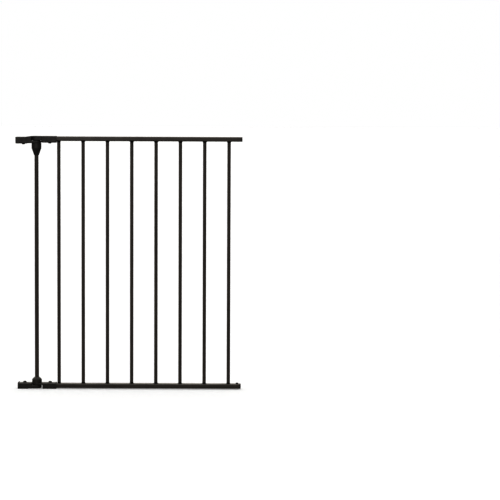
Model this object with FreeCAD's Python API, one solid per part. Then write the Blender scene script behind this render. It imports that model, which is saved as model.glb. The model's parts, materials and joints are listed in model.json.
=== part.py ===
import FreeCAD, Part
import math
import os

# Safety baby gate: one hinged steel panel that joins to the next panel or to a wall bracket.
# Millimetres. X runs along the gate, Y is its depth and Z is up. While the pieces are modelled the
# hinge axis stands at X = 0, with the panel on its +X side and the two joining arms on its -X side.
# Everything is moved along X as it is written, so that X = 0 is then the middle of the whole gate.
# Z = 0 is the underside of the lower joining arm.

Vector = FreeCAD.Vector
UP = Vector(0, 0, 1)

# Whole gate
HEIGHT = 749.0
ARM_REACH = 60.6            # hinge axis to the mouth of the upper arm
PANEL_REACH = 607.7         # hinge axis to the right end of the upper rail
AXIS_SHIFT = (ARM_REACH - PANEL_REACH) / 2

# Rails: rounded rectangular steel tube
RAIL_DEPTH = 25.0
RAIL_HEIGHT = 13.0
RAIL_WALL = 1.2
RAIL_CORNER = 3.0
RAIL_START = 25.0           # hinge axis to the steel's left end, inside the bracket
TOP_RAIL_Z = 734.9          # underside
BOTTOM_RAIL_Z = 2.5         # underside
BOTTOM_RAIL_SHORTER = 2.5
CAP_PLATE = 4.4
CAP_CHEEK = 12.0
CAP_CHEEK_WALL = 1.8

# Bars: round steel tube, let into both rails and welded
BAR_COUNT = 8
BAR_RADIUS = 4.75
BAR_WALL = 1.0
FIRST_BAR = 65.9
BAR_PITCH = 71.8
BAR_INTO_RAIL = 3.2
WELD_RADIUS = 6.6
WELD_HEIGHT = 2.2

# Moulded hinge pieces
BODY_DEPTH = 30.0
BODY_CORNER = 2.5
KNUCKLE_RADIUS = 14.2
KNUCKLE_EDGE = 1.0
WEB_DEPTH = 28.0            # strip that joins a knuckle or an eye to its body
SHOULDER = 14.9             # hinge axis to an arm's full section, clear of the bracket at 90 degrees
TOP_BRACKET_START = 15.2
BOTTOM_BRACKET_START = 16.9
END_CORNER = 3.0            # corners of the brackets that face a knuckle
BARREL_FOOT = 2.5           # lower rim of the lower arm's knuckle
BEARING_GAP = 0.3
FLANGE = 0.8
TOP_BODY_Z = 729.8          # underside of the upper bracket
TOP_BRACKET_END = 59.3
TOP_EYE_Z = 735.8
BOTTOM_BODY_Z = 0.4
BOTTOM_BODY_TOP = 17.0
BOTTOM_BRACKET_END = 58.0
BOTTOM_EYE_Z = 11.4

# Joining arms: an open cradle above, a closed sleeve below
TOP_ARM_Z = (727.0, 746.4)
TOP_NECK_Z = 727.9
TOP_KNUCKLE_Z = 728.7
BOTTOM_ARM_REACH = 55.9
BOTTOM_KNUCKLE_Z = 1.3
SLIP = 0.2                  # clearance between a socket and the rail that enters it

# Screws: M5, with a hexagon socket in a button head or, on the joining screw, a cheese head
SCREW_RADIUS = 2.5
SCREW_HEAD_RADIUS = 4.6
SCREW_HEAD_CROWN = 2.6      # radius of the head's flat top
SCREW_HEAD_HEIGHT = 2.6
CHEESE_HEAD_RADIUS = 3.6
CHEESE_HEAD_HEIGHT = 3.2
HEX_FLATS = 3.0
HEX_DEPTH = 1.6
BRACKET_SCREW_LENGTH = 10.0
ROD_SCREW_LENGTH = 12.0
TOP_BRACKET_SCREW = 39.6    # distances of the screws from the hinge axis
BOTTOM_BRACKET_SCREW = 39.2
TOP_ARM_SCREW = 38.5
BOTTOM_ARM_SCREW = 36.0
END_HOLE_INSET = 10.7       # joining hole to the right end of its rail, cap included
INSERT_RADIUS = 3.5
INSERT_LENGTH = 7.0
BOSS_RADIUS = 5.6
BOSS_HEIGHT = 2.0
BRACKET_BEAD = 1.4          # radii of the beads at the lower mouths
ARM_BEAD = 2.2

# Hinge rod and what is on it
ROD_RADIUS = 5.7
ROD_WALL = 1.5
ROD_Z = (4.3, 744.0)
ROD_FLAT = 4.9              # half the distance across the two flats at the rod's top end
ROD_FLAT_LENGTH = 6.0
PLUG_LENGTH = 16.0
BUSH_CLEARANCE = 0.08
BUSH_RADIUS = 7.2
FLANGE_RADIUS = 12.0
COUNTERSINK_RADIUS = 4.8
WASHER_RADIUS = 9.5
WASHER_THICKNESS = 1.2
DOME_FOOT = 26.8
DOME_TOP = 34.3

# Lock collar: a tulip-shaped sleeve that is pulled down against a spring
COLLAR_TRAVEL = 7.0
COLLAR_TOP = 728.4
COLLAR_SHOULDER = 712.4
COLLAR_FOOT = 692.0
COLLAR_FOOT_RADIUS = 6.9
COLLAR_FOOT_HEIGHT = 5.5    # length of the close fit on the rod
COLLAR_WALL = 2.0
COLLAR_INNER = KNUCKLE_RADIUS - COLLAR_WALL
RING_HUB_RADIUS = 7.6
RING_BASE = 724.4
RING_FOOT = 717.0           # stays above the spring's seat when the collar is right down
ARM_RING_HEIGHT = 3.0
TOOTH_HEIGHT = 1.2
TOOTH_COUNT = 24
TOOTH_ROOT = 2.0
TOOTH_TIP = 0.6
PIN_RADIUS = 1.5
PIN_Z = 720.0
PIN_REACH = 7.2
SEAT_Z = 708.5
SEAT_THICKNESS = 1.0
SEAT_RADIUS = 9.2
CLIP_THICKNESS = 1.2
CLIP_RADIUS = 8.2
CLIP_GROOVE_RADIUS = ROD_RADIUS - 0.7
SPRING_WIRE = 0.7           # radius of the wire
SPRING_RADIUS = 8.5
SPRING_TURNS = 5
SPRING_STATIONS = 16         # wire sections in each turn
SPRING_SIDES = 6


def block(x, y, z):
    """Box between the low and high value of each pair."""
    return Part.makeBox(x[1] - x[0], y[1] - y[0], z[1] - z[0], Vector(x[0], y[0], z[0]))


def beam(x, depth, z, corner):
    """Box centred on Y, with its four edges along X rounded."""
    body = block(x, (-depth / 2, depth / 2), z)
    long_edges = [edge for edge in body.Edges if abs(edge.tangentAt(edge.FirstParameter).x) > 0.9]
    return body.makeFillet(corner, long_edges)


def rounded_end(start, end, z):
    """Box over the body's full depth, rounded at `start` along its upright edges and its lower one."""
    body = block((start, end), (-BODY_DEPTH / 2, BODY_DEPTH / 2), z)
    middle = (z[0] + z[1]) / 2
    edges = [edge for edge in body.Edges
             if edge.CenterOfMass.x < start + 0.01 and edge.CenterOfMass.z < middle + 0.01]
    return body.makeFillet(END_CORNER, edges)


def post(radius, z, x=0.0):
    """Upright cylinder."""
    return Part.makeCylinder(radius, z[1] - z[0], Vector(x, 0, z[0]))


def ring(outer, inner, z, x=0.0):
    """Upright tube."""
    return post(outer, z, x).cut(post(inner, z, x))


def turned(outline):
    """Solid turned about Z from (radius, z) points. An entry of two points is an arc: middle, end."""
    edges = []
    here = Vector(outline[0][0], 0, outline[0][1])
    for entry in outline[1:] + outline[:1]:
        if isinstance(entry[0], tuple):
            middle, end = [Vector(radius, 0, z) for radius, z in entry]
            edges.append(Part.Arc(here, middle, end).toShape())
        else:
            end = Vector(entry[0], 0, entry[1])
            edges.append(Part.makeLine(here, end))
        here = end
    return Part.Face(Part.Wire(edges)).revolve(Vector(), UP, 360)


def flipped(shape):
    """The shape turned upside down about the X axis."""
    return shape.rotated(Vector(), Vector(1, 0, 0), 180)


def knuckle(z, foot=KNUCKLE_EDGE):
    """Hinge barrel with softened rims. Its lower rim has the radius `foot`."""
    low, high = z
    edge = KNUCKLE_EDGE
    bulge = 1 - math.sqrt(0.5)
    return turned([
        (0, low), (KNUCKLE_RADIUS - foot, low),
        ((KNUCKLE_RADIUS - foot * bulge, low + foot * bulge), (KNUCKLE_RADIUS, low + foot)),
        (KNUCKLE_RADIUS, high - edge),
        ((KNUCKLE_RADIUS - edge * bulge, high - edge * bulge), (KNUCKLE_RADIUS - edge, high)), (0, high)])


def hexagon_socket(low):
    """Hexagonal hole of a screw head, from the height `low` up."""
    corner = Vector(HEX_FLATS / math.sqrt(3), 0, low)
    corners = [FreeCAD.Rotation(UP, 60 * side).multVec(corner) for side in range(7)]
    return Part.Face(Part.makePolygon(corners)).extrude(UP * HEX_DEPTH)


def headed_screw(head, height, x, seat, length, direction):
    """Screw whose head bears on the height `seat` and whose shank runs up (1) or down (-1)."""
    screw = head.fuse(post(SCREW_RADIUS, (0, length))).cut(hexagon_socket(-height)).removeSplitter()
    if direction < 0:
        screw = flipped(screw)
    return screw.translated(Vector(x, 0, seat))


def button_screw(x, seat, length, direction):
    """Screw with a low domed head."""
    height = SCREW_HEAD_HEIGHT
    head = turned([(0, 0), (SCREW_HEAD_RADIUS, 0), (SCREW_HEAD_RADIUS, -0.5),
                   ((SCREW_HEAD_RADIUS - 0.6, -0.75 * height), (SCREW_HEAD_CROWN, -height)), (0, -height)])
    return headed_screw(head, height, x, seat, length, direction)


def cheese_screw(x, seat, length, direction):
    """Screw with a narrow, straight-sided head."""
    radius, height = CHEESE_HEAD_RADIUS, CHEESE_HEAD_HEIGHT
    head = turned([(0, 0), (radius, 0), (radius, 0.5 - height), (radius - 0.5, -height), (0, -height)])
    return headed_screw(head, height, x, seat, length, direction)


def rail_profile(x, z, inset=0.0):
    """The rail's outline along X, or its hollow when inset by the wall."""
    return beam(x, RAIL_DEPTH - 2 * inset, (z + inset, z + RAIL_HEIGHT - inset), RAIL_CORNER - inset)


def bar_positions():
    return [FIRST_BAR + BAR_PITCH * index for index in range(BAR_COUNT)]


def rail(z, end, inner_face, bracket_screw, end_hole):
    """Rail from inside its bracket to its end cap, drilled through the wall that faces the bars.

    The holes for the threaded inserts are in the same wall: it is the underside of the upper rail
    and the top of the lower one.
    """
    wall = (inner_face - 1.5 * RAIL_WALL, inner_face + 1.5 * RAIL_WALL)
    tube = rail_profile((RAIL_START, end), z).cut(rail_profile((RAIL_START, end), z, RAIL_WALL))
    holes = [post(BAR_RADIUS, wall, x) for x in bar_positions()]
    holes += [post(INSERT_RADIUS, wall, x) for x in (bracket_screw, end_hole)]
    return tube.cut(Part.makeCompound(holes))


def bar(x):
    low = BOTTOM_RAIL_Z + RAIL_HEIGHT - BAR_INTO_RAIL
    high = TOP_RAIL_Z + BAR_INTO_RAIL
    return ring(BAR_RADIUS, BAR_RADIUS - BAR_WALL, (low, high), x)


def welds(face, direction):
    """Fillet weld round every bar, on the rail's face at height `face`."""
    waist = (BAR_RADIUS + 0.45 * (WELD_RADIUS - BAR_RADIUS), 0.4 * WELD_HEIGHT)
    bead = turned([(BAR_RADIUS, 0), (WELD_RADIUS, 0), (WELD_RADIUS, 0.2),
                   (waist, (BAR_RADIUS + 0.15, WELD_HEIGHT)), (BAR_RADIUS, WELD_HEIGHT)])
    if direction < 0:
        bead = flipped(bead)
    return Part.makeCompound([bead.translated(Vector(x, 0, face)) for x in bar_positions()])


def end_cap(z, end):
    """Plug of the rail's right end: a rounded plate and two cheeks that grip the tube's side walls."""
    plate_start = end - CAP_PLATE
    plate = rail_profile((plate_start, end), z)
    outer_rim = [edge for edge in plate.Edges if edge.BoundBox.XMin > end - 0.01]
    plate = plate.makeFillet(1.2, outer_rim)
    hollow = rail_profile((plate_start - CAP_CHEEK, plate_start), z, RAIL_WALL)
    half_gap = RAIL_DEPTH / 2 - RAIL_WALL - CAP_CHEEK_WALL
    gap = block((plate_start - CAP_CHEEK, plate_start), (-half_gap, half_gap), (z, z + RAIL_HEIGHT))
    return plate.fuse(hollow.cut(gap)).removeSplitter()


def insert(x, face, direction):
    """Threaded insert pressed into a rail wall, its mouth flush with the height `face`."""
    z = sorted((face, face + direction * INSERT_LENGTH))
    return ring(INSERT_RADIUS, SCREW_RADIUS, z, x)


def bracket_body(start, end, z, eye_z):
    """Bracket round the rail's left end, with the hinge eye on top of the opposite arm's knuckle."""
    body = beam((start, end), BODY_DEPTH, z, BODY_CORNER).common(rounded_end(start, end, z))
    eye = knuckle((eye_z, z[1]))
    web = beam((0, start + 2 * END_CORNER), WEB_DEPTH, (eye_z, z[1]), KNUCKLE_EDGE)
    return body.fuse([eye, web])


def screw_boss(x, z):
    """Raised seat of a screw head."""
    top = z + BOSS_HEIGHT
    boss = turned([(0, z - 0.8), (BOSS_RADIUS + 0.6, z - 0.8), (BOSS_RADIUS + 0.6, z),
                   (BOSS_RADIUS, top - 0.4), (BOSS_RADIUS - 0.4, top), (0, top)])
    return boss.translated(Vector(x, 0, 0))


def mouth_bead(x, radius):
    """Half-round bead across the top of a lower bracket or arm, at its mouth."""
    half = BODY_DEPTH / 2 - BODY_CORNER
    rod = Part.makeCylinder(radius, 2 * half, Vector(x, -half, BOTTOM_BODY_TOP - 0.2), Vector(0, 1, 0))
    ends = [edge for edge in rod.Edges if abs(abs(edge.CenterOfMass.y) - half) < 0.01]
    return rod.makeFillet(0.7, ends)


def flatted_bore(z, flats_z):
    """The hole that the rod fills: round over z, narrowed by two flats over flats_z."""
    across = block((-ROD_RADIUS, ROD_RADIUS), (-ROD_FLAT, ROD_FLAT), flats_z)
    return post(ROD_RADIUS, z).fuse(post(ROD_RADIUS, flats_z).common(across))


def top_panel_bracket():
    body = bracket_body(TOP_BRACKET_START, TOP_BRACKET_END, (TOP_BODY_Z, HEIGHT), TOP_EYE_Z)
    flats = (ROD_Z[1] - ROD_FLAT_LENGTH, ROD_Z[1])
    countersink = Part.makeCone(SCREW_RADIUS, COUNTERSINK_RADIUS, COUNTERSINK_RADIUS - SCREW_RADIUS,
                                Vector(0, 0, HEIGHT - COUNTERSINK_RADIUS + SCREW_RADIUS))
    return body.cut([
        rail_profile((RAIL_START, TOP_BRACKET_END + 1), TOP_RAIL_Z),
        flatted_bore((TOP_EYE_Z, flats[0]), flats),
        post(SCREW_RADIUS, (ROD_Z[1], HEIGHT)),
        countersink,
        post(SCREW_RADIUS, (TOP_BODY_Z, TOP_RAIL_Z), TOP_BRACKET_SCREW)]).removeSplitter()


def bottom_panel_bracket():
    body = bracket_body(BOTTOM_BRACKET_START, BOTTOM_BRACKET_END, (BOTTOM_BODY_Z, BOTTOM_BODY_TOP),
                        BOTTOM_EYE_Z)
    body = body.fuse([screw_boss(BOTTOM_BRACKET_SCREW, BOTTOM_BODY_TOP),
                      mouth_bead(BOTTOM_BRACKET_END - BRACKET_BEAD, BRACKET_BEAD)])
    return body.cut([
        rail_profile((RAIL_START, BOTTOM_BRACKET_END + 1), BOTTOM_RAIL_Z),
        post(ROD_RADIUS, (BOTTOM_EYE_Z, BOTTOM_BODY_TOP)),
        post(SCREW_RADIUS, (BOTTOM_RAIL_Z, BOTTOM_BODY_TOP + BOSS_HEIGHT),
             BOTTOM_BRACKET_SCREW)]).removeSplitter()


def arm_stop(screw):
    """X of the wall that the next panel's rail end meets inside an arm."""
    return -(screw - END_HOLE_INSET)


def arm_neck(stop, z, low, top, shoulder_z, foot):
    """Knuckle and neck of an arm. The neck, from `low` to `top`, stops short of the panel's eye."""
    side = [Vector(stop - 4, 0, low), Vector(-SHOULDER, 0, low), Vector(-SHOULDER, 0, top),
            Vector(stop - 4, 0, shoulder_z)]
    shoulder = Part.Face(Part.makePolygon(side + side[:1])).extrude(Vector(0, BODY_DEPTH, 0))
    shoulder = shoulder.translated(Vector(0, -BODY_DEPTH / 2, 0))
    shoulder = shoulder.common(beam((stop - 5, 0), BODY_DEPTH, (low, top), BODY_CORNER))
    return shoulder.fuse([knuckle(z, foot), beam((stop, 0), WEB_DEPTH, z, foot)])


def top_arm():
    """Upper arm: a cradle, open above and at its mouth, that the next panel's upper rail lies in."""
    stop = arm_stop(TOP_ARM_SCREW)
    low, high = TOP_ARM_Z
    knuckle_z = (TOP_KNUCKLE_Z, TOP_EYE_Z - BEARING_GAP - FLANGE)
    cradle = beam((-ARM_REACH, stop), BODY_DEPTH, TOP_ARM_Z, BODY_CORNER)
    channel = beam((-ARM_REACH - 1, stop), RAIL_DEPTH + 2 * SLIP,
                   (TOP_RAIL_Z - SLIP, HEIGHT + 20), RAIL_CORNER)
    neck = arm_neck(stop, knuckle_z, TOP_NECK_Z, HEIGHT, high, KNUCKLE_EDGE)
    tooth_seat = TOP_KNUCKLE_Z + ARM_RING_HEIGHT
    return cradle.fuse(neck).cut([
        channel,
        post(SCREW_RADIUS, (low, TOP_RAIL_Z), -TOP_ARM_SCREW),
        post(BUSH_RADIUS, (low, knuckle_z[1])),
        post(COLLAR_INNER, (low, tooth_seat))]).removeSplitter()


def bottom_arm():
    """Lower arm: a closed sleeve that the next panel's lower rail slides into."""
    stop = arm_stop(BOTTOM_ARM_SCREW)
    knuckle_z = (BOTTOM_KNUCKLE_Z, BOTTOM_EYE_Z - BEARING_GAP - FLANGE)
    sleeve = beam((-BOTTOM_ARM_REACH, stop), BODY_DEPTH, (0, BOTTOM_BODY_TOP), BODY_CORNER)
    hollow = beam((-BOTTOM_ARM_REACH - 1, stop), RAIL_DEPTH + 2 * SLIP,
                  (BOTTOM_RAIL_Z - SLIP, BOTTOM_RAIL_Z + RAIL_HEIGHT + SLIP), RAIL_CORNER)
    neck = arm_neck(stop, knuckle_z, BOTTOM_KNUCKLE_Z, BOTTOM_BODY_TOP, BOTTOM_BODY_TOP, BARREL_FOOT)
    trims = [screw_boss(-BOTTOM_ARM_SCREW, BOTTOM_BODY_TOP),
             mouth_bead(-BOTTOM_ARM_REACH + ARM_BEAD, ARM_BEAD)]
    washer_room = ROD_Z[0] + BEARING_GAP
    return sleeve.fuse([neck] + trims).cut([
        hollow,
        post(SCREW_RADIUS, (BOTTOM_RAIL_Z + RAIL_HEIGHT, BOTTOM_BODY_TOP + BOSS_HEIGHT), -BOTTOM_ARM_SCREW),
        post(BUSH_RADIUS, (washer_room, knuckle_z[1])),
        post(WASHER_RADIUS + 0.7, (0, washer_room))]).removeSplitter()


def bush(low, eye_z):
    """Flanged plastic bush between the rod and an arm. Its flange carries the panel's eye."""
    top = eye_z - BEARING_GAP
    bore = ROD_RADIUS + BUSH_CLEARANCE
    return turned([(bore, low), (BUSH_RADIUS, low), (BUSH_RADIUS, top - FLANGE),
                   (FLANGE_RADIUS, top - FLANGE), (FLANGE_RADIUS, top), (bore, top)])


def hinge_rod():
    """Steel tube with two flats at its top end and a cross hole for the collar's pin."""
    tube = ring(ROD_RADIUS, ROD_RADIUS - ROD_WALL, ROD_Z)
    flats_z = (ROD_Z[1] - ROD_FLAT_LENGTH, ROD_Z[1])
    groove_z = (SEAT_Z - CLIP_THICKNESS, SEAT_Z)
    cuts = [block((-ROD_RADIUS, ROD_RADIUS), (ROD_FLAT, ROD_RADIUS), flats_z),
            block((-ROD_RADIUS, ROD_RADIUS), (-ROD_RADIUS, -ROD_FLAT), flats_z),
            cross_pin(),
            ring(ROD_RADIUS + 1, CLIP_GROOVE_RADIUS, groove_z)]
    return tube.cut(cuts)


def rod_plugs():
    """Threaded plugs in the two ends of the rod."""
    radius = ROD_RADIUS - ROD_WALL
    low_z = (ROD_Z[0], ROD_Z[0] + PLUG_LENGTH)
    high_z = (ROD_Z[1] - PLUG_LENGTH, ROD_Z[1])
    return Part.makeCompound([ring(radius, SCREW_RADIUS, z) for z in (low_z, high_z)])


def top_rod_screw():
    """Countersunk screw, flush with the top of the upper eye."""
    top = HEIGHT - 0.2
    head_radius = COUNTERSINK_RADIUS - 0.2
    depth = head_radius - SCREW_RADIUS
    foot = top - depth - ROD_SCREW_LENGTH
    screw = turned([(0, foot), (SCREW_RADIUS, foot), (SCREW_RADIUS, top - depth),
                    (head_radius, top), (0, top)])
    return screw.cut(hexagon_socket(top - HEX_DEPTH))


def base_collar():
    """Domed collar pressed on the rod, above the lower eye."""
    return turned([(ROD_RADIUS, BOTTOM_BODY_TOP), (KNUCKLE_RADIUS, BOTTOM_BODY_TOP),
                   (KNUCKLE_RADIUS, DOME_FOOT), ((10.7, 31.1), (6.7, DOME_TOP)), (ROD_RADIUS, DOME_TOP)])


def cross_pin():
    """Pin through the rod that keys the collar: the collar slides but can't turn."""
    return Part.makeCylinder(PIN_RADIUS, 2 * PIN_REACH, Vector(0, -PIN_REACH, PIN_Z), Vector(0, 1, 0))


def spring_clip():
    """Open retaining ring in the rod's groove."""
    z = (SEAT_Z - CLIP_THICKNESS, SEAT_Z)
    mouth = block((0, CLIP_RADIUS + 1), (-3, 3), z)
    return ring(CLIP_RADIUS, CLIP_GROOVE_RADIUS, z).cut(mouth)


def spring_seat():
    return ring(SEAT_RADIUS, ROD_RADIUS, (SEAT_Z, SEAT_Z + SEAT_THICKNESS))


def lock_spring():
    """Compression spring between its seat on the rod and the lock ring's flange, with faceted wire."""
    low = SEAT_Z + SEAT_THICKNESS + SPRING_WIRE
    rise = RING_BASE - SPRING_WIRE - low
    sections = []
    for station in range(SPRING_TURNS * SPRING_STATIONS + 1):
        turn = station / SPRING_STATIONS
        centre_z = low + rise * turn / SPRING_TURNS
        section = []
        for corner in range(SPRING_SIDES):
            angle = 2 * math.pi * corner / SPRING_SIDES
            point = Vector(SPRING_RADIUS + SPRING_WIRE * math.cos(angle), 0,
                           centre_z + SPRING_WIRE * math.sin(angle))
            section.append(FreeCAD.Rotation(UP, 360 * turn).multVec(point))
        sections.append(section)
    facets = [sections[0], sections[-1]]
    for here, following in zip(sections, sections[1:]):
        for corner in range(SPRING_SIDES):
            other = (corner + 1) % SPRING_SIDES
            facets.append([here[corner], here[other], following[other]])
            facets.append([here[corner], following[other], following[corner]])
    faces = [Part.Face(Part.makePolygon(corners + corners[:1])) for corners in facets]
    return Part.Solid(Part.Shell(faces))


def tooth_crown(root_z, direction):
    """Ring of radial teeth that point up (1) or down (-1) from the height root_z."""
    inner = RING_HUB_RADIUS + 0.3
    tip = root_z + direction * TOOTH_HEIGHT
    section = [Vector(0, -TOOTH_ROOT / 2, root_z), Vector(0, TOOTH_ROOT / 2, root_z),
               Vector(0, TOOTH_TIP / 2, tip), Vector(0, -TOOTH_TIP / 2, tip)]
    wedge = Part.Face(Part.makePolygon(section + section[:1])).extrude(Vector(COLLAR_INNER + 1, 0, 0))
    low, high = sorted((root_z, tip))
    annulus = ring(COLLAR_INNER, inner, (low - 0.1, high + 0.1))
    teeth = [wedge.rotated(Vector(), UP, 360 / TOOTH_COUNT * index) for index in range(TOOTH_COUNT)]
    return [tooth.common(annulus) for tooth in teeth]


def lock_ring():
    """Toothed ring fixed in the collar, slotted for the cross pin."""
    root = COLLAR_TOP - TOOTH_HEIGHT
    bore = ROD_RADIUS + BUSH_CLEARANCE
    body = turned([(bore, RING_FOOT), (RING_HUB_RADIUS, RING_FOOT), (RING_HUB_RADIUS, RING_BASE),
                   (COLLAR_INNER, RING_BASE), (COLLAR_INNER, root), (bore, root)])
    slot = PIN_RADIUS + 0.15
    keyway = block((-slot, slot), (-RING_HUB_RADIUS - 0.3, RING_HUB_RADIUS + 0.3), (PIN_Z - slot, COLLAR_TOP))
    return body.fuse(tooth_crown(root, 1)).cut(keyway).removeSplitter()


def arm_tooth_ring():
    """Toothed ring under the upper arm's knuckle. The lock ring's teeth face it."""
    root = TOP_KNUCKLE_Z + TOOTH_HEIGHT
    base = ring(COLLAR_INNER, BUSH_RADIUS, (root, TOP_KNUCKLE_Z + ARM_RING_HEIGHT))
    return base.fuse(tooth_crown(root, -1)).removeSplitter()


def lock_collar():
    """Tulip-shaped shell of the collar, open above and closing round the rod below."""
    clear = ROD_RADIUS + 0.3
    inner_foot = COLLAR_FOOT + COLLAR_FOOT_HEIGHT
    return turned([
        (clear, COLLAR_FOOT), (COLLAR_FOOT_RADIUS - 0.4, COLLAR_FOOT),
        (COLLAR_FOOT_RADIUS, COLLAR_FOOT + 0.8),
        (KNUCKLE_RADIUS - 1, COLLAR_SHOULDER - 1.5),
        ((KNUCKLE_RADIUS - 0.28, COLLAR_SHOULDER), (KNUCKLE_RADIUS, COLLAR_SHOULDER + 1.9)),
        (KNUCKLE_RADIUS, COLLAR_TOP - 0.5), (KNUCKLE_RADIUS - 0.5, COLLAR_TOP),
        (COLLAR_INNER, COLLAR_TOP), (COLLAR_INNER, COLLAR_SHOULDER + 2),
        (clear, inner_foot)])


def pieces():
    """Every piece, by name."""
    top_face = BOTTOM_RAIL_Z + RAIL_HEIGHT
    bottom_end = PANEL_REACH - BOTTOM_RAIL_SHORTER
    top_hole = PANEL_REACH - END_HOLE_INSET
    bottom_hole = bottom_end - END_HOLE_INSET
    parts = {
        "top_rail": rail(TOP_RAIL_Z, PANEL_REACH - CAP_PLATE, TOP_RAIL_Z, TOP_BRACKET_SCREW, top_hole),
        "bottom_rail": rail(BOTTOM_RAIL_Z, bottom_end - CAP_PLATE, top_face,
                            BOTTOM_BRACKET_SCREW, bottom_hole),
    }
    for number, x in enumerate(bar_positions(), 1):
        parts[f"bar_{number}"] = bar(x)
    parts["top_welds"] = welds(TOP_RAIL_Z, -1)
    parts["bottom_welds"] = welds(top_face, 1)
    parts["top_end_cap"] = end_cap(TOP_RAIL_Z, PANEL_REACH)
    parts["bottom_end_cap"] = end_cap(BOTTOM_RAIL_Z, bottom_end)
    parts["rail_inserts"] = Part.makeCompound([
        insert(TOP_BRACKET_SCREW, TOP_RAIL_Z, 1), insert(top_hole, TOP_RAIL_Z, 1),
        insert(BOTTOM_BRACKET_SCREW, top_face, -1), insert(bottom_hole, top_face, -1)])
    parts["joining_screw"] = cheese_screw(bottom_hole, top_face, INSERT_LENGTH, -1)

    parts["top_panel_bracket"] = top_panel_bracket()
    parts["bottom_panel_bracket"] = bottom_panel_bracket()
    parts["top_bracket_screw"] = button_screw(TOP_BRACKET_SCREW, TOP_BODY_Z, BRACKET_SCREW_LENGTH, 1)
    boss_top = BOTTOM_BODY_TOP + BOSS_HEIGHT
    parts["bottom_bracket_screw"] = button_screw(BOTTOM_BRACKET_SCREW, boss_top, BRACKET_SCREW_LENGTH, -1)

    parts["hinge_rod"] = hinge_rod()
    parts["rod_plugs"] = rod_plugs()
    parts["top_rod_screw"] = top_rod_screw()
    washer_z = (ROD_Z[0] - WASHER_THICKNESS, ROD_Z[0])
    parts["bottom_rod_washer"] = ring(WASHER_RADIUS, SCREW_RADIUS, washer_z)
    parts["bottom_rod_screw"] = button_screw(0, washer_z[0], ROD_SCREW_LENGTH, 1)
    parts["base_collar"] = base_collar()
    parts["collar_pin"] = cross_pin()
    parts["spring_clip"] = spring_clip()
    parts["spring_seat"] = spring_seat()
    parts["lock_spring"] = lock_spring()
    parts["lock_ring"] = lock_ring()
    parts["lock_collar"] = lock_collar()

    parts["top_arm"] = top_arm()
    parts["arm_tooth_ring"] = arm_tooth_ring()
    parts["top_arm_bush"] = bush(TOP_KNUCKLE_Z + BEARING_GAP, TOP_EYE_Z)
    parts["top_arm_screw"] = button_screw(-TOP_ARM_SCREW, TOP_ARM_Z[0], TOP_RAIL_Z - SLIP - TOP_ARM_Z[0], 1)
    parts["bottom_arm"] = bottom_arm()
    parts["bottom_arm_bush"] = bush(ROD_Z[0] + BEARING_GAP, BOTTOM_EYE_Z)
    parked_length = boss_top - top_face - SLIP
    parts["bottom_arm_screw"] = button_screw(-BOTTOM_ARM_SCREW, boss_top, parked_length, -1)
    return parts


def main():
    os.makedirs("parts", exist_ok=True)
    for name, shape in pieces().items():
        placed = shape.translated(Vector(AXIS_SHIFT, 0, 0))
        placed.exportStep(f"parts/{name}.step")
        box = placed.BoundBox
        print(f"{name:22s} solids {len(placed.Solids)} valid {placed.isValid()} "
              f"volume {placed.Volume:10.1f} x {box.XMin:.2f} {box.XMax:.2f} "
              f"y {box.YMin:.2f} {box.YMax:.2f} z {box.ZMin:.2f} {box.ZMax:.2f}")


main()
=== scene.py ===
import json
import math
import bpy
import bmesh
from mathutils import Matrix, Vector, noise


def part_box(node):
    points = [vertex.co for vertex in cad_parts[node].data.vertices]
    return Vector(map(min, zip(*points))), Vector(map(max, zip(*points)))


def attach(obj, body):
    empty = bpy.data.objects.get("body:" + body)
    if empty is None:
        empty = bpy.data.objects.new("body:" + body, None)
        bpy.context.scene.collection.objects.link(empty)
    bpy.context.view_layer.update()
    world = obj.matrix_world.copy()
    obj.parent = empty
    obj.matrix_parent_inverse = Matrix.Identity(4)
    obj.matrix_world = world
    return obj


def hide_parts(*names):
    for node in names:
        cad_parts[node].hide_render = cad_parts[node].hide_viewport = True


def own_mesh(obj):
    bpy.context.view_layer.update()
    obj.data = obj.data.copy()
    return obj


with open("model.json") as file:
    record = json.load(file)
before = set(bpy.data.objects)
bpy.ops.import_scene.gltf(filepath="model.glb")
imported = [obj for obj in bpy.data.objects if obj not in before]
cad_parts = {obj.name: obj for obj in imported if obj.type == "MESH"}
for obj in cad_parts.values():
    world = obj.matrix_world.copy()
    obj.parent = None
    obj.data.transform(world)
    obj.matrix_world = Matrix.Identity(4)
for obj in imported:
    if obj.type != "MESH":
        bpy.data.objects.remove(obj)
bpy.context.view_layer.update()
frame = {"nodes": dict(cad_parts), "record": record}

NODES = frame["nodes"]
MM = 0.001


def centre_of(node):
    low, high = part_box(node)
    return (Vector(low) + Vector(high)) / 2


# ---------------------------------------------------------------- materials

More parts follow.
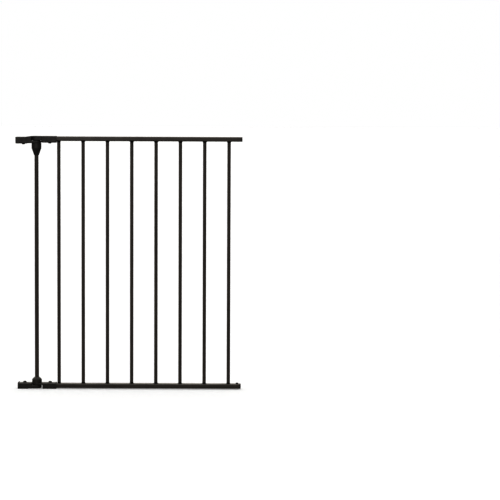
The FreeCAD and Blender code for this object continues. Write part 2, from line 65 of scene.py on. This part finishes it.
class Surface:
    """A Principled material, with short ways to add and join nodes."""

    def __init__(self, name, colour, roughness, metallic=0.0):
        self.material = bpy.data.materials.new(name)
        self.material.use_nodes = True
        self.tree = self.material.node_tree
        self.shader = self.tree.nodes["Principled BSDF"]
        self.shader.inputs["Base Color"].default_value = (*colour, 1)
        self.shader.inputs["Roughness"].default_value = roughness
        self.shader.inputs["Metallic"].default_value = metallic
        self.place = self.node("ShaderNodeTexCoord").outputs["Object"]

    def node(self, kind, settings=(), **inputs):
        made = self.tree.nodes.new(kind)
        for key, value in dict(settings).items():
            setattr(made, key, value)
        for key, value in inputs.items():
            socket = made.inputs[key.replace("_", " ")]
            if isinstance(value, bpy.types.NodeSocket):
                self.tree.links.new(value, socket)
            else:
                socket.default_value = value
        return made

    def set(self, socket, value):
        if isinstance(value, bpy.types.NodeSocket):
            self.tree.links.new(value, self.shader.inputs[socket])
        else:
            self.shader.inputs[socket].default_value = value

    def grain(self, scale, detail=2.0, roughness=0.5):
        """Noise of about 1 / scale metres."""
        return self.node("ShaderNodeTexNoise", Vector=self.place, Scale=scale, Detail=detail,
                         Roughness=roughness).outputs["Fac"]

    def remap(self, value, low, high, to_low, to_high):
        node = self.node("ShaderNodeMapRange", Value=value)
        for socket, number in zip(node.inputs[1:5], (low, high, to_low, to_high)):
            socket.default_value = number
        return node.outputs["Result"]

    def mix(self, factor, first, second):
        node = self.node("ShaderNodeMix", {"data_type": "RGBA"})
        self.tree.links.new(factor, node.inputs["Factor"])
        for socket, colour in ((node.inputs[6], first), (node.inputs[7], second)):
            if isinstance(colour, bpy.types.NodeSocket):
                self.tree.links.new(colour, socket)
            else:
                socket.default_value = (*colour, 1)
        return node.outputs[2]

    def times(self, first, second):
        node = self.node("ShaderNodeMath", {"operation": "MULTIPLY"})
        for socket, value in zip(node.inputs, (first, second)):
            if isinstance(value, bpy.types.NodeSocket):
                self.tree.links.new(value, socket)
            else:
                socket.default_value = value
        return node.outputs["Value"]

    def edges(self, radius):
        """(rounded normal, mask that is 1 on convex and concave edges)."""
        soft = self.node("ShaderNodeBevel", {"samples": 6}, Radius=radius).outputs["Normal"]
        flat = self.node("ShaderNodeNewGeometry").outputs["Normal"]
        turn = self.node("ShaderNodeVectorMath", {"operation": "DOT_PRODUCT"})
        self.tree.links.new(soft, turn.inputs[0])
        self.tree.links.new(flat, turn.inputs[1])
        return soft, self.remap(turn.outputs["Value"], 0.99, 0.80, 0.0, 1.0)

    def bumps(self, layers, normal=None):
        """Bump layers of (height, depth in metres), each on top of the last."""
        for height, depth in layers:
            bump = self.node("ShaderNodeBump", Height=height, Distance=depth, Strength=1.0)
            if normal is not None:
                self.tree.links.new(normal, bump.inputs["Normal"])
            normal = bump.outputs["Normal"]
        self.tree.links.new(normal, self.shader.inputs["Normal"])


def shaded(shade, *colour):
    return tuple(shade * value for value in colour)


def powder_coat(name, shade, gloss):
    """Satin black powder coat over steel: orange peel, fine sparkle of the powder, thin rubbed edges. A shade
    below 1 darkens all of its colours, which is painted shade.
    """
    s = Surface(name, (0.030, 0.027, 0.023), 0.4)
    s.set("Specular IOR Level", gloss)
    soft, edge = s.edges(0.5 * MM)
    patches = s.remap(s.grain(9, 3), 0.35, 0.65, 0.0, 1.0)
    body = s.mix(patches, shaded(shade, 0.040, 0.0340, 0.0285), shaded(shade, 0.051, 0.0435, 0.0365))
    speck = s.remap(s.grain(2600, 1), 0.60, 0.72, 0.0, 0.5)
    body = s.mix(speck, body, shaded(shade, 0.068, 0.063, 0.056))
    rubbed = s.times(edge, s.remap(s.grain(70, 4), 0.50, 0.75, 0.0, 0.6))
    s.set("Base Color", s.mix(rubbed, body, shaded(shade, 0.085, 0.079, 0.070)))
    s.set("Roughness", s.remap(s.grain(30, 4), 0.3, 0.7, 0.33, 0.46))
    s.bumps([(s.grain(420, 2), 0.00006), (s.grain(1500, 2), 0.00002)], soft)
    return s.material


def moulded_nylon():
    """Glass-filled black nylon from a spark-eroded mould, with faint flow marks and paler rubbed edges."""
    s = Surface("moulded_nylon", (0.020, 0.019, 0.017), 0.5)
    soft, edge = s.edges(0.35 * MM)
    flow = s.node("ShaderNodeTexWave", {"wave_type": "BANDS", "bands_direction": "X"}, Vector=s.place,
                  Scale=18.0, Distortion=9.0, Detail=3.0, Detail_Scale=2.0).outputs["Fac"]
    body = s.mix(flow, (0.0205, 0.0190, 0.0170), (0.0275, 0.0255, 0.0225))
    fibre = s.remap(s.grain(3200, 1), 0.58, 0.70, 0.0, 0.4)
    body = s.mix(fibre, body, (0.050, 0.048, 0.044))
    rubbed = s.times(edge, s.remap(s.grain(180, 3), 0.45, 0.7, 0.0, 0.5))
    s.set("Base Color", s.mix(rubbed, body, (0.066, 0.063, 0.058)))
    s.set("Roughness", s.remap(s.grain(60, 3), 0.3, 0.7, 0.42, 0.56))
    s.bumps([(s.grain(2100, 2, 0.7), 0.00003), (s.grain(260, 2), 0.00003)], soft)
    return s.material


def black_oxide():
    """Black-oxide steel of the screws, polished where the key and the head have rubbed."""
    s = Surface("black_oxide", (0.02, 0.019, 0.018), 0.35, metallic=0.6)
    soft, edge = s.edges(0.25 * MM)
    worn = s.times(edge, s.remap(s.grain(500, 3), 0.4, 0.65, 0.0, 0.8))
    body = s.mix(s.remap(s.grain(300, 3), 0.3, 0.7, 0.0, 1.0), (0.016, 0.015, 0.014), (0.030, 0.028, 0.026))
    s.set("Base Color", s.mix(worn, body, (0.16, 0.15, 0.14)))
    s.set("Roughness", s.remap(s.grain(700, 3), 0.3, 0.7, 0.28, 0.45))
    s.bumps([(s.grain(1800, 2), 0.00001)], soft)
    return s.material


def zinc_plate():
    """Bright zinc plate with a slight crystal mottle."""
    s = Surface("zinc_plate", (0.6, 0.6, 0.57), 0.3, metallic=1.0)
    cells = s.node("ShaderNodeTexVoronoi", Vector=s.place, Scale=900.0).outputs["Color"]
    dull = s.mix(s.remap(s.grain(200, 3), 0.3, 0.7, 0.0, 1.0), (0.50, 0.50, 0.48), (0.68, 0.67, 0.62))
    s.set("Base Color", s.mix(s.remap(cells, 0.0, 1.0, 0.0, 0.25), dull, (0.42, 0.44, 0.47)))
    s.set("Roughness", s.remap(s.grain(1200, 2), 0.3, 0.7, 0.24, 0.42))
    s.bumps([(s.grain(1500, 2), 0.00001)])
    return s.material


def spring_wire():
    """Drawn, lightly oiled steel wire."""
    s = Surface("spring_wire", (0.4, 0.4, 0.41), 0.32, metallic=1.0)
    s.set("Base Color", s.mix(s.remap(s.grain(800, 4), 0.3, 0.7, 0.0, 1.0), (0.30, 0.30, 0.31),
                              (0.48, 0.47, 0.46)))
    s.set("Roughness", s.remap(s.grain(2500, 2), 0.3, 0.7, 0.25, 0.42))
    s.bumps([(s.grain(3000, 2), 0.000006)])
    return s.material


def acetal():
    """Smooth, slightly waxy black bearing plastic."""
    s = Surface("acetal", (0.03, 0.03, 0.03), 0.35)
    soft, _ = s.edges(0.2 * MM)
    s.set("Base Color", s.mix(s.remap(s.grain(120, 3), 0.3, 0.7, 0.0, 1.0), (0.024, 0.024, 0.024),
                              (0.038, 0.037, 0.036)))
    s.set("Roughness", s.remap(s.grain(400, 3), 0.3, 0.7, 0.28, 0.42))
    s.bumps([(s.grain(900, 2), 0.00001)], soft)
    return s.material


MATERIALS = {
    "black_powder_coated_steel": powder_coat("powder_coat", shade=1.0, gloss=0.5),
    "black_nylon": moulded_nylon(),
    "black_screw_steel": black_oxide(),
    "zinc_plated_steel": zinc_plate(),
    "spring_steel": spring_wire(),
    "black_acetal": acetal(),
}
# Painted shade: the welds get the powder coat at 0.15 of its colour and with little gloss, so they read as
# the dark crevice round each bar.
WELD_PAINTED_SHADE_COAT = powder_coat("powder_coat_painted_shade_on_welds", shade=0.15, gloss=0.1)
SLOT_OF = {part["node"]: part["material_slot"] for part in frame["record"]["subparts"]}


def dress_frame():
    """Every CAD node takes the material of its slot."""
    for name, piece in NODES.items():
        piece.data.materials.clear()
        piece.data.materials.append(MATERIALS[SLOT_OF[name]])


# ---------------------------------------------------------------- moulded pieces

def add_piece(name, mesh, body, slot, *replaced):
    """A finished piece that rides on a body and stands for CAD nodes."""
    piece = bpy.data.objects.new(name, mesh)
    bpy.context.scene.collection.objects.link(piece)
    mesh.materials.clear()
    mesh.materials.append(MATERIALS[slot])
    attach(piece, body)
    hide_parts(*replaced)
    return piece


MOULD_VOXEL = 0.45 * MM
MOULD_SMOOTHING = 3


def soft_copy(node):
    """The node's mesh rebuilt in small even quads, with its edges rounded as a mould rounds them."""
    source = bpy.data.objects.new(node + "_source", NODES[node].data.copy())
    bpy.context.scene.collection.objects.link(source)
    remesh = source.modifiers.new("remesh", "REMESH")
    remesh.mode = "VOXEL"
    remesh.voxel_size = MOULD_VOXEL
    remesh.use_smooth_shade = True
    smooth = source.modifiers.new("smooth", "SMOOTH")
    smooth.factor = 0.5
    smooth.iterations = MOULD_SMOOTHING
    graph = bpy.context.evaluated_depsgraph_get()
    mesh = bpy.data.meshes.new_from_object(source.evaluated_get(graph))
    bpy.data.objects.remove(source)
    for polygon in mesh.polygons:
        polygon.use_smooth = True
    return mesh


MOULDED = {
    "top_panel_bracket": "panel",
    "bottom_panel_bracket": "panel",
    "base_collar": "panel",
    "top_arm": "top_arm",
    "bottom_arm": "bottom_arm",
    "lock_collar": "lock_collar",
    "top_end_cap": "panel",
    "bottom_end_cap": "panel",
}


def make_moulded():
    for node, body in MOULDED.items():
        add_piece("moulded_" + node, soft_copy(node), body, SLOT_OF[node], node)


# ---------------------------------------------------------------- welds

WELD_STEPS = 56             # sections round each weld
WELD_SECTION = 7            # points across its face
WELD_REACH = 3.4 * MM
WELD_REACH_BESIDE_BRACKET = 1.9 * MM
WELD_HEIGHT = 3.8 * MM
WELD_ROOT = 0.5 * MM        # how far it goes into the bar
TOE_WANDER = 0.14           # shares of the weld's size
RIPPLE_SIZE = 0.05
RIPPLES = 14


def weld_ring(bm, centre, bar_radius, reach, height, direction, seed):
    """One hand-run fillet weld: a concave ring whose toe wanders and whose face has small ripples."""
    rings = []
    for step in range(WELD_STEPS):
        angle = 2 * math.pi * step / WELD_STEPS
        out = Vector((math.cos(angle), math.sin(angle), 0))
        wander = 1 + TOE_WANDER * noise.noise(out * 1.7 + Vector((0, 0, seed)))
        drift = 1.5 * noise.noise(out * 2 + Vector((0, seed, 0)))
        ripple = RIPPLE_SIZE * math.sin(RIPPLES * angle + drift)
        section = []
        for index in range(WELD_SECTION):
            t = index / (WELD_SECTION - 1)
            swell = 1 + ripple * math.sin(math.pi * t)
            radius = bar_radius + reach * wander * (1 - math.sin(0.5 * math.pi * t)) * swell
            section.append((radius, height * wander * (1 - math.cos(0.5 * math.pi * t)) * swell))
        root = bar_radius - WELD_ROOT
        section += [(root, section[-1][1]), (root, 0)]
        rings.append([bm.verts.new(centre + out * radius + Vector((0, 0, direction * rise)))
                      for radius, rise in section])
    for here, following in zip(rings, rings[1:] + rings[:1]):
        for index in range(len(here)):
            other = (index + 1) % len(here)
            corners = [here[index], following[index], following[other], here[other]]
            bm.faces.new(corners if direction > 0 else corners[::-1])


def make_welds():
    bars = [centre_of(f"bar_{number}") for number in range(1, 9)]
    bar_low, bar_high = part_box("bar_1")
    radius = (bar_high[0] - bar_low[0]) / 2
    for node, edge, direction in (("top_welds", 1, -1), ("bottom_welds", 0, 1)):
        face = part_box(node)[edge][2]
        bm = bmesh.new()
        for number, bar in enumerate(bars):
            reach = WELD_REACH if number > 0 else WELD_REACH_BESIDE_BRACKET
            weld_ring(bm, Vector((bar.x, bar.y, face)), radius, reach, WELD_HEIGHT, direction,
                      number + 20 * edge)
        mesh = bpy.data.meshes.new(node)
        bm.to_mesh(mesh)
        bm.free()
        for polygon in mesh.polygons:
            polygon.use_smooth = True
        piece = add_piece("run_" + node, mesh, "panel", SLOT_OF[node], node)
        # The welds take the darkened copy of the coat, painted shade for the crevice round each bar.
        piece.data.materials[0] = WELD_PAINTED_SHADE_COAT


# ---------------------------------------------------------------- lock spring

WIRE_RADIUS = 0.7 * MM
WIRE_SIDES = 12
SPRING_TURNS = 5
STATIONS_IN_TURN = 40


def make_spring():
    """Round-wire spring under the lock ring, which shortens as the collar is pulled down; here it is built at
    one length.
    """
    low, high = (Vector(corner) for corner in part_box("lock_spring"))
    foot = Vector(((low.x + high.x) / 2, (low.y + high.y) / 2, low.z))
    height = high.z - low.z
    coil_radius = (high.x - low.x) / 2 - WIRE_RADIUS
    stations = SPRING_TURNS * STATIONS_IN_TURN
    bm = bmesh.new()
    rings = []
    for station in range(stations + 1):
        turn = Matrix.Rotation(2 * math.pi * station / STATIONS_IN_TURN, 3, "Z")
        rise = WIRE_RADIUS + (height - 2 * WIRE_RADIUS) * station / stations
        ring = []
        for side in range(WIRE_SIDES):
            angle = 2 * math.pi * side / WIRE_SIDES
            radius = coil_radius + WIRE_RADIUS * math.cos(angle)
            level = rise + WIRE_RADIUS * math.sin(angle)
            ring.append(bm.verts.new(foot + turn @ Vector((radius, 0, level))))
        rings.append(ring)
    for here, following in zip(rings, rings[1:]):
        for side in range(WIRE_SIDES):
            other = (side + 1) % WIRE_SIDES
            bm.faces.new([here[side], here[other], following[other], following[side]])
    for face in bm.faces:
        face.smooth = True
    bm.faces.new(rings[0][::-1])
    bm.faces.new(rings[-1])
    bmesh.ops.recalc_face_normals(bm, faces=bm.faces)
    mesh = bpy.data.meshes.new("coiled_spring")
    bm.to_mesh(mesh)
    bm.free()
    piece = add_piece("coiled_spring", mesh, "panel", SLOT_OF["lock_spring"], "lock_spring")
    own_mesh(piece)


# ---------------------------------------------------------------- stage, light, camera

FLOOR_HALF = 60.0
FLOOR_GLOW = 0.34
GLOW_BELOW = 0.12
GLOW_IN_FRONT = 0.95
GLOW_BEHIND = 1.6
OVERHEAD_ENERGY = 1.5
OVERHEAD_SPREAD = math.radians(70)
FRONT_ENERGY = 50
FRONT_PLACE = (-0.6, -4.5, 1.7)
CAMERA_PLACE = (0.3579, -6.5, 0.86)
CAMERA_LENS = 158.45
CAMERA_PITCH = math.radians(3.921)      # below level
CAMERA_ROLL = math.radians(0.25)
# The view's gamma darkens the whole gate and the thin bars' edges to the photo's tones. With a gamma of 1
# the same materials look two to three times lighter, dark grey instead of black.
VIEW_GAMMA = 0.6


def make_floor():
    """Pale matt floor that runs on past the view. A third of its light is its own, so shadows stay faint."""
    mesh = bpy.data.meshes.new("floor")
    corners = [(-FLOOR_HALF, -FLOOR_HALF, 0), (FLOOR_HALF, -FLOOR_HALF, 0),
               (FLOOR_HALF, FLOOR_HALF, 0), (-FLOOR_HALF, FLOOR_HALF, 0)]
    mesh.from_pydata(corners, [], [(0, 1, 2, 3)])
    floor = bpy.data.objects.new("floor", mesh)
    bpy.context.scene.collection.objects.link(floor)
    s = Surface("pale_floor", (0.36, 0.365, 0.38), 0.9)
    s.set("Base Color", s.mix(s.remap(s.grain(3, 3), 0.3, 0.7, 0.0, 1.0), (0.355, 0.363, 0.376),
                              (0.362, 0.370, 0.383)))
    s.set("Emission Color", (1, 1, 1, 1))
    s.set("Emission Strength", FLOOR_GLOW)
    mesh.materials.append(s.material)
    floor.visible_glossy = False


def make_world():
    """The camera sees plain white. The gate is lit by a soft glow, most from above and behind."""
    world = bpy.data.worlds.new("studio")
    world.use_nodes = True
    tree = world.node_tree

    def remap(value, low, high, to_low, to_high):
        node = tree.nodes.new("ShaderNodeMapRange")
        node.interpolation_type = "SMOOTHSTEP"
        for socket, number in zip(node.inputs, (value, low, high, to_low, to_high)):
            if isinstance(number, bpy.types.NodeSocket):
                tree.links.new(number, socket)
            else:
                socket.default_value = number
        return node.outputs["Result"]

    backdrop = tree.nodes["Background"]
    backdrop.inputs["Color"].default_value = (1, 1, 1, 1)
    backdrop.inputs["Strength"].default_value = 1.0
    direction = tree.nodes.new("ShaderNodeSeparateXYZ")
    tree.links.new(tree.nodes.new("ShaderNodeTexCoord").outputs["Generated"], direction.inputs["Vector"])
    above = remap(direction.outputs["Y"], -0.6, 0.6, GLOW_IN_FRONT, GLOW_BEHIND)
    glow = tree.nodes.new("ShaderNodeBackground")
    glow.inputs["Color"].default_value = (1.0, 0.97, 0.92, 1)
    strength = remap(direction.outputs["Z"], 0.03, 0.20, GLOW_BELOW, above)
    tree.links.new(strength, glow.inputs["Strength"])
    seen = tree.nodes.new("ShaderNodeLightPath").outputs["Is Camera Ray"]
    chosen = tree.nodes.new("ShaderNodeMixShader")
    tree.links.new(seen, chosen.inputs["Fac"])
    tree.links.new(glow.outputs["Background"], chosen.inputs[1])
    tree.links.new(backdrop.outputs["Background"], chosen.inputs[2])
    tree.links.new(chosen.outputs["Shader"], tree.nodes["World Output"].inputs["Surface"])
    bpy.context.scene.world = world


def aimed(name, data, place, target):
    lamp = bpy.data.objects.new(name, data)
    lamp.location = place
    lamp.rotation_euler = (Vector(target) - Vector(place)).to_track_quat("-Z", "Y").to_euler()
    bpy.context.scene.collection.objects.link(lamp)


def make_lights():
    """A broad overhead light, even over the whole floor, and a soft one in front of the gate, to its left."""
    overhead = bpy.data.lights.new("overhead", "SUN")
    overhead.angle = OVERHEAD_SPREAD
    overhead.energy = OVERHEAD_ENERGY
    aimed("overhead", overhead, (0, 0.6, 3.0), (0, 0, 0))
    front = bpy.data.lights.new("front", "AREA")
    front.shape = "RECTANGLE"
    front.size = 0.7
    front.size_y = 1.6
    front.energy = FRONT_ENERGY
    aimed("front", front, FRONT_PLACE, (0, 0, 0.4))


def make_camera():
    """In front of the gate, a little above its upper rail, with the gate left of the middle."""
    data = bpy.data.cameras.new("camera")
    data.sensor_width = 36
    data.lens = CAMERA_LENS
    data.clip_end = 200
    camera = bpy.data.objects.new("camera", data)
    upright = Matrix.Rotation(math.radians(90) - CAMERA_PITCH, 4, "X")
    roll = Matrix.Rotation(CAMERA_ROLL, 4, "Z")
    camera.matrix_world = Matrix.Translation(CAMERA_PLACE) @ upright @ roll
    bpy.context.scene.collection.objects.link(camera)
    bpy.context.scene.camera = camera


dress_frame()
make_moulded()
make_welds()
make_spring()
make_floor()
make_world()
make_lights()
make_camera()
bpy.context.scene.view_settings.view_transform = "Standard"
bpy.context.scene.view_settings.gamma = VIEW_GAMMA
